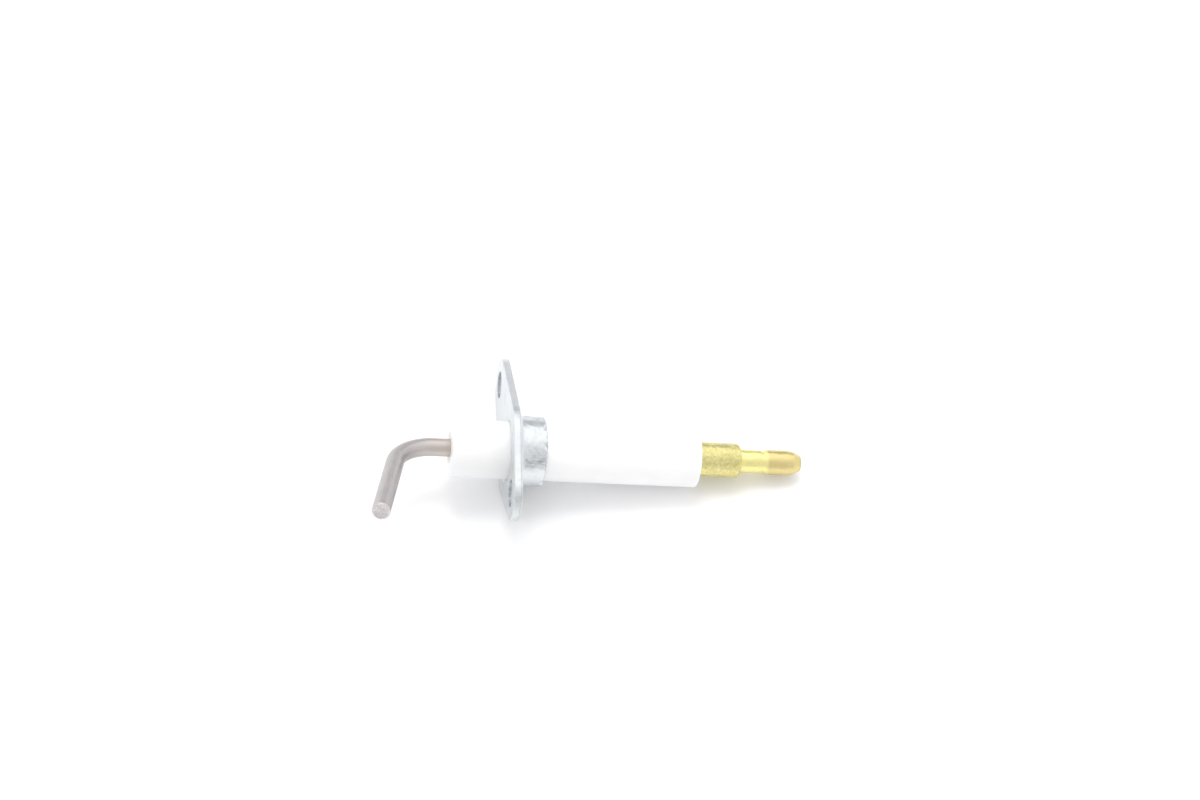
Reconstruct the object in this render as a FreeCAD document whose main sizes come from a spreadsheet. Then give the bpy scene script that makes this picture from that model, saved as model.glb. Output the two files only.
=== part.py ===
"""Flame sensor probe: an ionisation electrode for a gas burner.

A bent heat-resistant rod runs through a ceramic insulator.  A zinc-plated flange with two
ears is crimped onto the ceramic by its drawn collar, and a turned brass terminal is
pressed onto the rod's rear end.

Frame: X runs along the probe's axis, from the flame towards the terminal.  The origin is on
that axis, in the plane of the flange's mounting face.  Z is up as the probe lies on a table,
on one straight side of its flange.  Millimetres and degrees throughout.
"""
import FreeCAD, Part
import math
import os

import Sketcher
from FreeCAD import Placement, Rotation, Vector

X_AXIS = Vector(1, 0, 0)
TOUCH = 1e-4  # how near a measured edge must be to the one that is looked for

DRIVING_SIZES = (
    # electrode rod
    ("rod_dia", 3.0),
    ("rod_reach", 8.2),  # from the ceramic's front face to the corner of the bend
    ("rod_leg", 22.7),  # from the corner of the bend to the rod's tip
    ("rod_bend", 78.5),  # how far the leg turns away from the axis
    ("rod_bend_radius", 7.0),  # at the rod's centre line
    ("rod_insert", 6.0),  # depth of the rod inside the terminal
    ("rod_edge", 0.3),  # chamfer of both cut ends
    ("leg_turn", 148.0),  # direction of the leg about the axis, from +Y towards +Z
    # ceramic insulator
    ("ceramic_dia", 9.6),
    ("ceramic_front", 9.4),  # in front of the mounting face
    ("ceramic_rear", 32.3),  # behind the mounting face
    ("ceramic_edge", 0.4),  # rounding of the two ends
    ("bore_gap", 0.15),  # between the rod and the ceramic's bore
    ("seal_dia", 5.0),  # counterbores that hold the cement
    ("seal_front_depth", 1.6),
    ("seal_rear_depth", 2.4),
    ("seal_front_sink", 0.1),  # how far the cement stays below the ceramic's faces
    ("seal_rear_sink", 0.5),
    ("groove_place", 3.8),  # middle of the crimping groove, behind the mounting face
    ("groove_width", 1.8),
    ("groove_depth", 0.35),
    # mounting flange
    ("plate_thick", 1.4),
    ("lobe_radius", 8.5),  # round middle of the outline
    ("ear_radius", 4.5),
    ("long_ear", 15.6),  # from the axis to the far screw hole
    ("short_ear", 9.8),  # from the axis to the near screw hole
    ("screw_hole_dia", 4.5),
    ("plate_edge", 0.25),  # rounding of the stamped outline
    ("flange_turn", -15.0),  # direction of the long ear about the axis, from +Y
    ("collar_gap", 0.05),  # between the ceramic and the crimped collar
    ("collar_root_wall", 1.15),
    ("collar_end_wall", 0.9),
    ("collar_length", 4.75),  # behind the plate
    ("collar_root_round", 0.9),
    ("collar_mouth_round", 0.8),
    ("collar_lip_round", 0.25),
    ("crimp_reach", 0.25),  # how far the crimped bead enters the ceramic's groove
    ("crimp_side_gap", 0.15),
    ("stake_count", 10.0),  # chisel marks round the collar's end
    ("stake_radius", 0.6),
    ("stake_bite", 0.28),
    ("stake_depth", 0.7),
    ("dimple_count", 4.0),  # crimping dimples round the collar's side
    ("dimple_turn", 127.0),  # direction of the first dimple about the axis
    ("dimple_along", 2.6),  # half axes of the crimping tool's rounded tip
    ("dimple_across", 1.9),
    ("dimple_bite", 0.3),
    # terminal
    ("sleeve_dia", 5.8),
    ("sleeve_length", 7.3),
    ("sleeve_edge", 0.45),
    ("waist_dia", 3.95),
    ("waist_length", 3.7),
    ("neck_dia", 3.5),
    ("neck_width", 0.3),
    ("tip_dia", 4.2),
    ("tip_rise", 0.7),  # length of the cone that rises from the neck
    ("tip_length", 3.4),
    ("tip_fall", 1.1),  # length of the slight taper ahead of the nose
    ("tip_end_dia", 3.9),
    ("tip_edge", 0.25),
    ("nose_dia", 2.6),
    ("nose_length", 1.4),
    ("nose_edge", 0.4),
    ("socket_gap", 0.03),  # between the rod and the terminal's blind hole
    ("socket_end_gap", 0.5),
)

doc = FreeCAD.newDocument("flame_sensor_probe")
sizes = doc.addObject("Spreadsheet::Sheet", "sizes")
for row, (alias, value) in enumerate(DRIVING_SIZES, start=1):
    sizes.set(f"A{row}", alias)
    sizes.set(f"B{row}", str(value))
    sizes.setAlias(f"B{row}", alias)
doc.recompute()


def size(alias):
    """A driving dimension's value, for finding edges."""
    return float(sizes.get(alias))


def new_body(label):
    """A body whose label names its node."""
    body = doc.addObject("PartDesign::Body", label)
    body.Label = label
    return body


def origin_feature(body, role):
    """One of the body's own origin planes or axes."""
    return next(item for item in body.Origin.OriginFeatures if item.Role == role)


def new_sketch(body, name, plane):
    """An empty sketch on one of the body's origin planes."""
    sketch = body.newObject("Sketcher::SketchObject", name)
    sketch.AttachmentSupport = [(origin_feature(body, plane), "")]
    sketch.MapMode = "FlatFace"
    return sketch


def bind(sketch, constraint, name, expression):
    """Adds a named constraint and ties it to the driving dimensions."""
    index = sketch.addConstraint(constraint)
    sketch.renameConstraint(index, name)
    sketch.setExpression(f"Constraints.{name}", expression)


def turned_sketch(body, name, corners):
    """A closed profile for turning about X.

    Each corner is (along X, radius), as two expressions in the driving dimensions.
    """
    sketch = new_sketch(body, name, "XY_Plane")
    points = [Vector(measure(x), measure(radius), 0) for x, radius in corners]
    last = len(points) - 1
    for i, point in enumerate(points):
        sketch.addGeometry(Part.LineSegment(point, points[i + 1 if i < last else 0]), False)
    for i in range(last + 1):
        sketch.addConstraint(Sketcher.Constraint("Coincident", i, 2, i + 1 if i < last else 0, 1))
    for i, (x, radius) in enumerate(corners):
        across = Sketcher.Constraint("DistanceX", -1, 1, i, 1, points[i].x)
        bind(sketch, across, f"along_{i}", x)
        if radius == "0":
            sketch.addConstraint(Sketcher.Constraint("PointOnObject", i, 1, -1))
        else:
            away = Sketcher.Constraint("DistanceY", -1, 1, i, 1, points[i].y)
            bind(sketch, away, f"radius_{i}", radius)
    return sketch


def measure(expression):
    """The present value of an expression in the driving dimensions."""
    return float(sizes.evalExpression(expression.replace("sizes.", "")))


def turn(body, name, corners):
    """Turns a closed profile about the body's X axis."""
    sketch = turned_sketch(body, f"{name}_profile", corners)
    feature = body.newObject("PartDesign::Revolution", name)
    feature.Profile = sketch
    feature.ReferenceAxis = (sketch, ["H_Axis"])
    feature.Angle = 360
    doc.recompute()
    return feature


def turn_away(body, name, corners):
    """Cuts a turned profile out of the body, and makes sure that it cut."""
    before = body.Tip.Shape.Volume
    sketch = turned_sketch(body, f"{name}_profile", corners)
    feature = body.newObject("PartDesign::Groove", name)
    feature.Profile = sketch
    feature.ReferenceAxis = (sketch, ["H_Axis"])
    feature.Angle = 360
    doc.recompute()
    check_cut(feature, before)
    return feature


def check_cut(feature, volume_before):
    if feature.Shape.Volume >= volume_before:
        raise RuntimeError(f"{feature.Name} cut nothing")


def rings(feature, x, radius):
    """The names of the feature's full round edges at one place along X."""
    names = []
    for i, edge in enumerate(feature.Shape.Edges, start=1):
        curve = edge.Curve
        if not isinstance(curve, Part.Circle):
            continue
        if abs(curve.Center.x - x) < TOUCH and abs(curve.Radius - radius) < TOUCH:
            names.append(f"Edge{i}")
    return names


def dress(body, kind, name, edges, expression):
    """A fillet or chamfer on edges of the body's tip."""
    base = body.Tip
    feature = body.newObject(f"PartDesign::{kind}", name)
    feature.Base = (base, edges)
    feature.setExpression("Radius" if kind == "Fillet" else "Size", expression)
    doc.recompute()
    return feature


def pattern(body, name, original, count_expression):
    """Repeats a cut evenly round the body's X axis."""
    before = body.Tip.Shape.Volume
    feature = body.newObject("PartDesign::PolarPattern", name)
    feature.Originals = [original]
    feature.Axis = (origin_feature(body, "X_Axis"), [""])
    feature.Angle = 360
    feature.setExpression("Occurrences", count_expression)
    body.Tip = feature
    doc.recompute()
    check_cut(feature, before)
    return feature


def turn_body(body, angle_expression):
    """Turns a whole body about the probe's axis."""
    body.Placement = Placement(Vector(0, 0, 0), Rotation(X_AXIS, 1))
    body.setExpression("Placement.Rotation.Angle", angle_expression)


# ---------------------------------------------------------------- electrode rod
ROD_REAR = "sizes.ceramic_rear + sizes.rod_insert"
BEND_TANGENT = "sizes.rod_bend_radius * tan(sizes.rod_bend * 0.5 deg)"
ROD_CORNER = "sizes.ceramic_front + sizes.rod_reach"


def make_rod():
    """A round rod, swept along a straight run, a bend and a straight leg."""
    body = new_body("electrode_rod")
    run_length = f"{ROD_REAR} + {ROD_CORNER} - {BEND_TANGENT}"
    leg_length = f"sizes.rod_leg - {BEND_TANGENT}"
    run = measure(run_length)
    leg = measure(leg_length)
    bend_radius = size("rod_bend_radius")
    bend = math.radians(size("rod_bend"))

    path = new_sketch(body, "rod_path", "XY_Plane")
    bend_centre = Vector(-run, bend_radius, 0)
    bend_start = -math.pi / 2
    bend_end = bend_start - bend
    leg_root = bend_centre + Vector(math.cos(bend_end), math.sin(bend_end), 0) * bend_radius
    leg_tip = leg_root + Vector(-math.cos(bend), math.sin(bend), 0) * leg
    circle = Part.Circle(bend_centre, Vector(0, 0, 1), bend_radius)
    path.addGeometry(Part.LineSegment(Vector(0, 0, 0), Vector(-run, 0, 0)), False)
    path.addGeometry(Part.ArcOfCircle(circle, bend_end, bend_start), False)
    path.addGeometry(Part.LineSegment(leg_root, leg_tip), False)
    path.addConstraint(Sketcher.Constraint("Coincident", 0, 1, -1, 1))
    path.addConstraint(Sketcher.Constraint("Horizontal", 0))
    path.addConstraint(Sketcher.Constraint("Tangent", 0, 2, 1, 2))
    path.addConstraint(Sketcher.Constraint("Tangent", 1, 1, 2, 1))
    bind(path, Sketcher.Constraint("Distance", 0, run), "run", run_length)
    bind(path, Sketcher.Constraint("Radius", 1, bend_radius), "bend", "sizes.rod_bend_radius")
    bind(path, Sketcher.Constraint("Distance", 2, leg), "leg", leg_length)
    slope = Sketcher.Constraint("Angle", 2, math.pi - bend)
    bind(path, slope, "slope", "(180 - sizes.rod_bend) * 1 deg")

    section = new_sketch(body, "rod_section", "YZ_Plane")
    radius = size("rod_dia") / 2
    section.addGeometry(Part.Circle(Vector(0, 0, 0), Vector(0, 0, 1), radius), False)
    section.addConstraint(Sketcher.Constraint("Coincident", 0, 3, -1, 1))
    bind(section, Sketcher.Constraint("Radius", 0, radius), "radius", "sizes.rod_dia / 2")
    doc.recompute()

    sweep = body.newObject("PartDesign::AdditivePipe", "rod_sweep")
    sweep.Profile = section
    sweep.Spine = (path, ["Edge1", "Edge2", "Edge3"])
    doc.recompute()
    ends = [
        f"Edge{i}"
        for i, edge in enumerate(sweep.Shape.Edges, start=1)
        if isinstance(edge.Curve, Part.Circle) and is_rod_end(edge, leg_tip)
    ]
    dress(body, "Chamfer", "rod_edges", ends, "sizes.rod_edge")
    turn_body(body, "sizes.leg_turn")
    body.setExpression("Placement.Base.x", ROD_REAR)
    return body


def is_rod_end(edge, leg_tip):
    centre = edge.Curve.Center
    return min(centre.Length, (centre - leg_tip).Length) < TOUCH


# ------------------------------------------------------------- ceramic insulator
CERAMIC_RADIUS = "sizes.ceramic_dia / 2"
BORE_RADIUS = "sizes.rod_dia / 2 + sizes.bore_gap"
SEAL_RADIUS = "sizes.seal_dia / 2"
CERAMIC_START = "-sizes.ceramic_front"


def make_ceramic():
    """A tube with a groove under the collar and a cement cup at each end."""
    body = new_body("ceramic_insulator")
    front_cup = f"{CERAMIC_START} + sizes.seal_front_depth"
    rear_cup = "sizes.ceramic_rear - sizes.seal_rear_depth"
    turn(
        body,
        "tube",
        [
            (CERAMIC_START, CERAMIC_RADIUS),
            (CERAMIC_START, SEAL_RADIUS),
            (front_cup, SEAL_RADIUS),
            (front_cup, BORE_RADIUS),
            (rear_cup, BORE_RADIUS),
            (rear_cup, SEAL_RADIUS),
            ("sizes.ceramic_rear", SEAL_RADIUS),
            ("sizes.ceramic_rear", CERAMIC_RADIUS),
        ],
    )
    radius = size("ceramic_dia") / 2
    ends = rings(body.Tip, -size("ceramic_front"), radius)
    ends += rings(body.Tip, size("ceramic_rear"), radius)
    dress(body, "Fillet", "tube_edges", ends, "sizes.ceramic_edge")
    groove_start = "sizes.groove_place - sizes.groove_width / 2"
    groove_end = "sizes.groove_place + sizes.groove_width / 2"
    floor = f"{CERAMIC_RADIUS} - sizes.groove_depth"
    outside = f"{CERAMIC_RADIUS} + sizes.groove_depth"
    turn_away(
        body,
        "crimping_groove",
        [
            (groove_start, floor),
            (groove_end, floor),
            (groove_end, outside),
            (groove_start, outside),
        ],
    )
    return body


# ------------------------------------------------------------------ cement seals
def make_seal(label, start, end):
    """A ring of cement round the rod, in one of the ceramic's cups."""
    body = new_body(label)
    inner = "sizes.rod_dia / 2"
    corners = [(start, inner), (end, inner), (end, SEAL_RADIUS), (start, SEAL_RADIUS)]
    turn(body, f"{label}_ring", corners)
    return body


# --------------------------------------------------------------- mounting flange
COLLAR_BORE = f"{CERAMIC_RADIUS} + sizes.collar_gap"
COLLAR_ROOT = f"{COLLAR_BORE} + sizes.collar_root_wall"
COLLAR_LIP = f"{COLLAR_BORE} + sizes.collar_end_wall"
COLLAR_END = "sizes.plate_thick + sizes.collar_length"


def make_flange():
    """A stamped plate with two ears of unlike reach, and a collar drawn out of it."""
    body = new_body("mounting_flange")
    outline = flange_outline(body)
    plate = body.newObject("PartDesign::Pad", "plate")
    plate.Profile = outline
    plate.setExpression("Length", "sizes.plate_thick")
    doc.recompute()
    if plate.Shape.BoundBox.XMax < TOUCH:
        plate.Reversed = True
        doc.recompute()
    outline_edges = [
        f"Edge{i}"
        for i, edge in enumerate(plate.Shape.Edges, start=1)
        if edge.BoundBox.XLength < TOUCH
    ]
    dress(body, "Fillet", "stamped_edges", outline_edges, "sizes.plate_edge")

    inside = f"({CERAMIC_RADIUS}) / 2"
    turn(
        body,
        "collar",
        [
            ("sizes.plate_thick / 2", inside),
            ("sizes.plate_thick / 2", COLLAR_ROOT),
            ("sizes.plate_thick", COLLAR_ROOT),
            (COLLAR_END, COLLAR_LIP),
            (COLLAR_END, inside),
        ],
    )
    root_radius = measure(COLLAR_ROOT)
    root = rings(body.Tip, size("plate_thick"), root_radius)
    dress(body, "Fillet", "collar_root", root, "sizes.collar_root_round")
    lip = rings(body.Tip, measure(COLLAR_END), measure(COLLAR_LIP))
    dress(body, "Fillet", "collar_lip", lip, "sizes.collar_lip_round")

    before_start = "-sizes.plate_thick"
    after_end = f"{COLLAR_END} + sizes.plate_thick"
    bead_start = "sizes.groove_place - sizes.groove_width / 2 + sizes.crimp_side_gap"
    bead_end = "sizes.groove_place + sizes.groove_width / 2 - sizes.crimp_side_gap"
    bead = f"{CERAMIC_RADIUS} - sizes.crimp_reach"
    turn_away(
        body,
        "collar_bore",
        [
            (before_start, "0"),
            (after_end, "0"),
            (after_end, COLLAR_BORE),
            (bead_end, COLLAR_BORE),
            (bead_end, bead),
            (bead_start, bead),
            (bead_start, COLLAR_BORE),
            (before_start, COLLAR_BORE),
        ],
    )
    mouth = rings(body.Tip, 0, measure(COLLAR_BORE))
    dress(body, "Fillet", "collar_mouth", mouth, "sizes.collar_mouth_round")
    cut_screw_holes(body)
    cut_stakes(body)
    cut_dimples(body)
    turn_body(body, "sizes.flange_turn")
    return body


def flange_outline(body):
    """Two ears and a round middle, joined by four straight tangents."""
    sketch = new_sketch(body, "plate_outline", "YZ_Plane")
    ear = size("ear_radius")
    lobe = size("lobe_radius")
    middle = Vector(0, 0, 0)
    far = Vector(size("long_ear"), 0, 0)
    near = Vector(-size("short_ear"), 0, 0)
    far_slope = math.acos((lobe - ear) / far.Length)
    near_slope = math.acos((lobe - ear) / near.Length)
    normal = Vector(0, 0, 1)

    def arc(centre, radius, start, end):
        circle = Part.Circle(centre, normal, radius)
        sketch.addGeometry(Part.ArcOfCircle(circle, start, end), False)

    def point(centre, radius, angle):
        return centre + Vector(math.cos(angle), math.sin(angle), 0) * radius

    arc(far, ear, -far_slope, far_slope)
    arc(middle, lobe, far_slope, math.pi - near_slope)
    arc(near, ear, math.pi - near_slope, math.pi + near_slope)
    arc(middle, lobe, math.pi + near_slope, 2 * math.pi - far_slope)
    tangents = (
        (point(far, ear, far_slope), point(middle, lobe, far_slope)),
        (point(middle, lobe, math.pi - near_slope), point(near, ear, math.pi - near_slope)),
        (point(near, ear, math.pi + near_slope), point(middle, lobe, math.pi + near_slope)),
        (point(middle, lobe, -far_slope), point(far, ear, -far_slope)),
    )
    for start, end in tangents:
        sketch.addGeometry(Part.LineSegment(start, end), False)
    for i in range(4):
        sketch.addConstraint(Sketcher.Constraint("Tangent", i, 2, 4 + i, 1))
        sketch.addConstraint(Sketcher.Constraint("Tangent", 4 + i, 2, (i + 1) % 4, 1))
    sketch.addConstraint(Sketcher.Constraint("Coincident", 1, 3, -1, 1))
    sketch.addConstraint(Sketcher.Constraint("Coincident", 3, 3, -1, 1))
    sketch.addConstraint(Sketcher.Constraint("PointOnObject", 0, 3, -1))
    sketch.addConstraint(Sketcher.Constraint("PointOnObject", 2, 3, -1))
    bind(sketch, Sketcher.Constraint("Radius", 0, ear), "far_ear", "sizes.ear_radius")
    bind(sketch, Sketcher.Constraint("Radius", 2, ear), "near_ear", "sizes.ear_radius")
    bind(sketch, Sketcher.Constraint("Radius", 1, lobe), "lobe", "sizes.lobe_radius")
    far_reach = Sketcher.Constraint("DistanceX", -1, 1, 0, 3, far.x)
    bind(sketch, far_reach, "far_reach", "sizes.long_ear")
    near_reach = Sketcher.Constraint("DistanceX", 2, 3, -1, 1, -near.x)
    bind(sketch, near_reach, "near_reach", "sizes.short_ear")
    return sketch


def pocket(body, name, sketch, length_expression):
    """Cuts a sketch on the YZ plane along +X, and makes sure that it cut."""
    before = body.Tip.Shape.Volume
    feature = body.newObject("PartDesign::Pocket", name)
    feature.Profile = sketch
    feature.Reversed = True
    feature.setExpression("Length", length_expression)
    doc.recompute()
    check_cut(feature, before)
    return feature


def cut_screw_holes(body):
    sketch = new_sketch(body, "screw_hole_circles", "YZ_Plane")
    radius = size("screw_hole_dia") / 2
    for i, reach in enumerate((size("long_ear"), -size("short_ear"))):
        sketch.addGeometry(Part.Circle(Vector(reach, 0, 0), Vector(0, 0, 1), radius), False)
        sketch.addConstraint(Sketcher.Constraint("PointOnObject", i, 3, -1))
        hole = Sketcher.Constraint("Radius", i, radius)
        bind(sketch, hole, f"hole_radius_{i}", "sizes.screw_hole_dia / 2")
    far = Sketcher.Constraint("DistanceX", -1, 1, 0, 3, size("long_ear"))
    bind(sketch, far, "far_hole", "sizes.long_ear")
    near = Sketcher.Constraint("DistanceX", 1, 3, -1, 1, size("short_ear"))
    bind(sketch, near, "near_hole", "sizes.short_ear")
    pocket(body, "screw_holes", sketch, "sizes.plate_thick")


def cut_stakes(body):
    """Chisel marks that turn the collar's end in against the ceramic."""
    sketch = new_sketch(body, "stake_circle", "YZ_Plane")
    sketch.AttachmentOffset = Placement(Vector(0, 0, 1), Rotation())
    sketch.setExpression("AttachmentOffset.Base.z", f"{COLLAR_END} - sizes.stake_depth")
    place = f"{COLLAR_LIP} - sizes.stake_bite + sizes.stake_radius"
    radius = size("stake_radius")
    sketch.addGeometry(Part.Circle(Vector(0, measure(place), 0), Vector(0, 0, 1), radius), False)
    sketch.addConstraint(Sketcher.Constraint("PointOnObject", 0, 3, -2))
    bind(sketch, Sketcher.Constraint("Radius", 0, radius), "radius", "sizes.stake_radius")
    height = Sketcher.Constraint("DistanceY", -1, 1, 0, 3, measure(place))
    bind(sketch, height, "height", place)
    stake = pocket(body, "stake", sketch, "2 * sizes.stake_depth")
    pattern(body, "stakes", stake, "sizes.stake_count")


def cut_dimples(body):
    """Rounded dents where the crimping tool pressed the collar into the groove."""
    before = body.Tip.Shape.Volume
    dimple = body.newObject("PartDesign::SubtractiveEllipsoid", "dimple")
    dimple.AttachmentSupport = [(origin_feature(body, "YZ_Plane"), "")]
    dimple.MapMode = "FlatFace"
    dimple.setExpression("Radius1", "sizes.dimple_along")
    dimple.setExpression("Radius2", "sizes.dimple_across")
    dimple.setExpression("Radius3", "sizes.dimple_across")
    middle_wall = "(sizes.collar_root_wall + sizes.collar_end_wall) / 2"
    distance = f"({COLLAR_BORE} + {middle_wall} - sizes.dimple_bite + sizes.dimple_across)"
    around = "(sizes.dimple_turn - sizes.flange_turn) * 1 deg"
    dimple.setExpression("AttachmentOffset.Base.x", f"{distance} * cos({around})")
    dimple.setExpression("AttachmentOffset.Base.y", f"{distance} * sin({around})")
    dimple.setExpression("AttachmentOffset.Base.z", "sizes.groove_place")
    doc.recompute()
    check_cut(dimple, before)
    pattern(body, "dimples", dimple, "sizes.dimple_count")


# ---------------------------------------------------------------------- terminal
def make_terminal():
    """A turned pin: sleeve over the rod, waist, neck, and a tip for the cable's socket."""
    body = new_body("terminal_pin")
    start = "sizes.ceramic_rear"
    socket_end = f"{ROD_REAR} + sizes.socket_end_gap"
    socket_radius = "sizes.rod_dia / 2 + sizes.socket_gap"
    sleeve_end = f"{start} + sizes.sleeve_length"
    waist_end = f"{sleeve_end} + sizes.waist_length"
    neck_end = f"{waist_end} + sizes.neck_width"
    tip_start = f"{neck_end} + sizes.tip_rise"
    tip_end = f"{tip_start} + sizes.tip_length"
    fall_end = f"{tip_end} + sizes.tip_fall"
    nose_end = f"{fall_end} + sizes.nose_length"
    turn(
        body,
        "pin",
        [
            (start, socket_radius),
            (start, "sizes.sleeve_dia / 2"),
            (sleeve_end, "sizes.sleeve_dia / 2"),
            (sleeve_end, "sizes.waist_dia / 2"),
            (waist_end, "sizes.waist_dia / 2"),
            (waist_end, "sizes.neck_dia / 2"),
            (neck_end, "sizes.neck_dia / 2"),
            (tip_start, "sizes.tip_dia / 2"),
            (tip_end, "sizes.tip_dia / 2"),
            (fall_end, "sizes.tip_end_dia / 2"),
            (nose_end, "sizes.nose_dia / 2"),
            (nose_end, "0"),
            (socket_end, "0"),
            (socket_end, socket_radius),
        ],
    )
    shoulder = rings(body.Tip, measure(sleeve_end), size("sleeve_dia") / 2)
    dress(body, "Chamfer", "sleeve_shoulder", shoulder, "sizes.sleeve_edge")
    tip_edge = rings(body.Tip, measure(tip_start), size("tip_dia") / 2)
    tip_edge += rings(body.Tip, measure(fall_end), size("tip_end_dia") / 2)
    dress(body, "Fillet", "tip_edges", tip_edge, "sizes.tip_edge")
    nose_edge = rings(body.Tip, measure(nose_end), size("nose_dia") / 2)
    dress(body, "Fillet", "nose_rounding", nose_edge, "sizes.nose_edge")
    return body


bodies = [
    make_rod(),
    make_ceramic(),
    make_seal(
        "front_seal",
        f"{CERAMIC_START} + sizes.seal_front_sink",
        f"{CERAMIC_START} + sizes.seal_front_depth",
    ),
    make_seal(
        "rear_seal",
        "sizes.ceramic_rear - sizes.seal_rear_depth",
        "sizes.ceramic_rear - sizes.seal_rear_sink",
    ),
    make_flange(),
    make_terminal(),
]
doc.recompute()

for item in doc.Objects:
    if "Invalid" in item.State or "Error" in item.State:
        raise RuntimeError(f"{item.Name} failed: {item.State}")
for body in bodies:
    shape = body.Shape
    if shape.isNull() or not shape.isValid() or len(shape.Solids) != 1:
        raise RuntimeError(f"{body.Label} is not one valid solid")

os.makedirs("parts", exist_ok=True)
for body in bodies:
    body.Shape.exportStep(f"parts/{body.Label}.step")
    box = body.Shape.BoundBox
    print(f"{body.Label}: {body.Shape.Volume:.1f} mm3, X {box.XMin:.2f} to {box.XMax:.2f}")
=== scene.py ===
"""Looks of the flame sensor probe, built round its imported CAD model.

Each CAD solid gets a finely detailed piece of the same shape: a drawn and bent rod, a fired
ceramic tube, two rings of cement, a zinc-plated flange with its crimped collar, and a turned
and tumbled brass terminal.  Dents and wear go inwards from the CAD surfaces.  Two things stand
proud of them, inside the CAD's box: the crimp dimples are shallower than the CAD's, and the open
faces of the cement are crowned.

Sizes are in millimetres, in the row frame: X along the probe's axis from the flame to the
terminal, the origin in the plane of the flange's mounting face.
"""

import math

import bmesh
import bpy
import numpy as np
from mathutils import Matrix, Vector
from mathutils.geometry import delaunay_2d_cdt


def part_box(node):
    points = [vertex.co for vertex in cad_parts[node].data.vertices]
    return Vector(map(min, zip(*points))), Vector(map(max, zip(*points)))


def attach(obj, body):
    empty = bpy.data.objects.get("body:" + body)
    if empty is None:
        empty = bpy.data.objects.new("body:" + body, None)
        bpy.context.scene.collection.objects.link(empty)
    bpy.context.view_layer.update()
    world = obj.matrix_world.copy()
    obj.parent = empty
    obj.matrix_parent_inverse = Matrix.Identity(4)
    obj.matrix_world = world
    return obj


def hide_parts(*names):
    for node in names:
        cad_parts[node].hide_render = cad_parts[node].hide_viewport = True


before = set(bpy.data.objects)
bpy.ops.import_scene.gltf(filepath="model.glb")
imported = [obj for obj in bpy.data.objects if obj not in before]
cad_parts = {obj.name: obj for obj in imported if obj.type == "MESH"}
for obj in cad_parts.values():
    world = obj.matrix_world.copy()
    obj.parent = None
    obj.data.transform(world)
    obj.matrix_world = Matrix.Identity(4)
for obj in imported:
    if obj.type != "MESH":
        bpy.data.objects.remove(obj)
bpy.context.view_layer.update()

MM = 0.001
FULL_TURN = 2 * math.pi


def box_mm(node):
    """A CAD node's lowest and highest corners."""
    low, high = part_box(node)
    return low / MM, high / MM


# ------------------------------------------------------------------------- sizes
ceramic_low, ceramic_high = box_mm("ceramic_insulator")
CERAMIC_FRONT = ceramic_low.x
CERAMIC_REAR = ceramic_high.x
CERAMIC_RADIUS = ceramic_high.z
CERAMIC_EDGE = 0.4
BORE_RADIUS = 1.65
SEAL_RADIUS = 2.5
FRONT_SEAL = tuple(corner.x for corner in box_mm("front_seal"))
REAR_SEAL = tuple(corner.x for corner in box_mm("rear_seal"))
FRONT_CROWN = 0.05
REAR_CROWN = 0.16
GROOVE_START = 2.9
GROOVE_END = 4.7
GROOVE_RADIUS = CERAMIC_RADIUS - 0.35

ROD_RADIUS = 1.5
ROD_REAR = box_mm("electrode_rod")[1].x
ROD_CORNER = CERAMIC_FRONT - 8.2
ROD_LEG = 22.7
ROD_BEND = math.radians(78.5)
ROD_BEND_RADIUS = 7.0
ROD_EDGE = 0.3
BEND_FLAT = 0.05
BEND_WRINKLE = 0.02
LEG_TURN = math.radians(148)

FLANGE_TURN = math.radians(-15)
PLATE_THICK = 1.4
LOBE_RADIUS = 8.5
EAR_RADIUS = 4.5
LONG_EAR = 15.6
SHORT_EAR = 9.8
PLATE_EDGE = 0.25
HOLE_RADIUS = 2.25
HOLE_EDGE = 0.12
COLLAR_END = box_mm("mounting_flange")[1].x
COLLAR_BORE = CERAMIC_RADIUS + 0.05
COLLAR_ROOT = COLLAR_BORE + 1.15
COLLAR_LIP = COLLAR_BORE + 0.9
ROOT_ROUND = 0.9
MOUTH_ROUND = 0.8
LIP_ROUND = 0.25
BEAD_RADIUS = CERAMIC_RADIUS - 0.25
STAKE_COUNT = 10
STAKE_RADIUS = 0.6
STAKE_BITE = 0.28
STAKE_DEPTH = 0.7
DIMPLE_COUNT = 4
DIMPLE_TURN = math.radians(127)
DIMPLE_ALONG = 1.35
DIMPLE_ACROSS = 1.05
DIMPLE_PLACE = GROOVE_START + 0.9
DIMPLE_BITE = 0.12
SCRAPE_TURN = DIMPLE_TURN + math.radians(10)
SCRAPE_HALF = 0.85
SCRAPE_SHARES = (1.0, 0.7, 0.8, 0.55)

# wear of the zinc and painted shade on it, from 0 to 1, and where they lie
# painted shade: the front part of each screw hole's wall is painted dark
HOLE_PAINTED_SHADE = 0.9
HOLE_SHADE_FULL = 0.4
HOLE_SHADE_END = 0.6
# painted shade, partly tarnish: the zinc is painted darker towards the short ear's end
EAR_SHADE_AND_TARNISH = 0.3
EAR_SHADE_START = SHORT_EAR + 2.2
EAR_SHADE_FULL = SHORT_EAR + 3.8
LIP_WEAR = 0.8

PIN_START, PIN_END = (corner.x for corner in box_mm("terminal_pin"))
SLEEVE_RADIUS = 2.9
SLEEVE_END = PIN_START + 7.3
SLEEVE_EDGE = 0.45
WAIST_RADIUS = 1.975
WAIST_END = SLEEVE_END + 3.7
NECK_RADIUS = 1.75
NECK_END = WAIST_END + 0.3
TIP_RADIUS = 2.1
TIP_START = NECK_END + 0.7
TIP_END = TIP_START + 3.4
FALL_END = TIP_END + 1.1
TIP_END_RADIUS = 1.95
NOSE_RADIUS = 1.3
SOCKET_RADIUS = ROD_RADIUS + 0.03
SOCKET_END = ROD_REAR + 0.5

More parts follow.
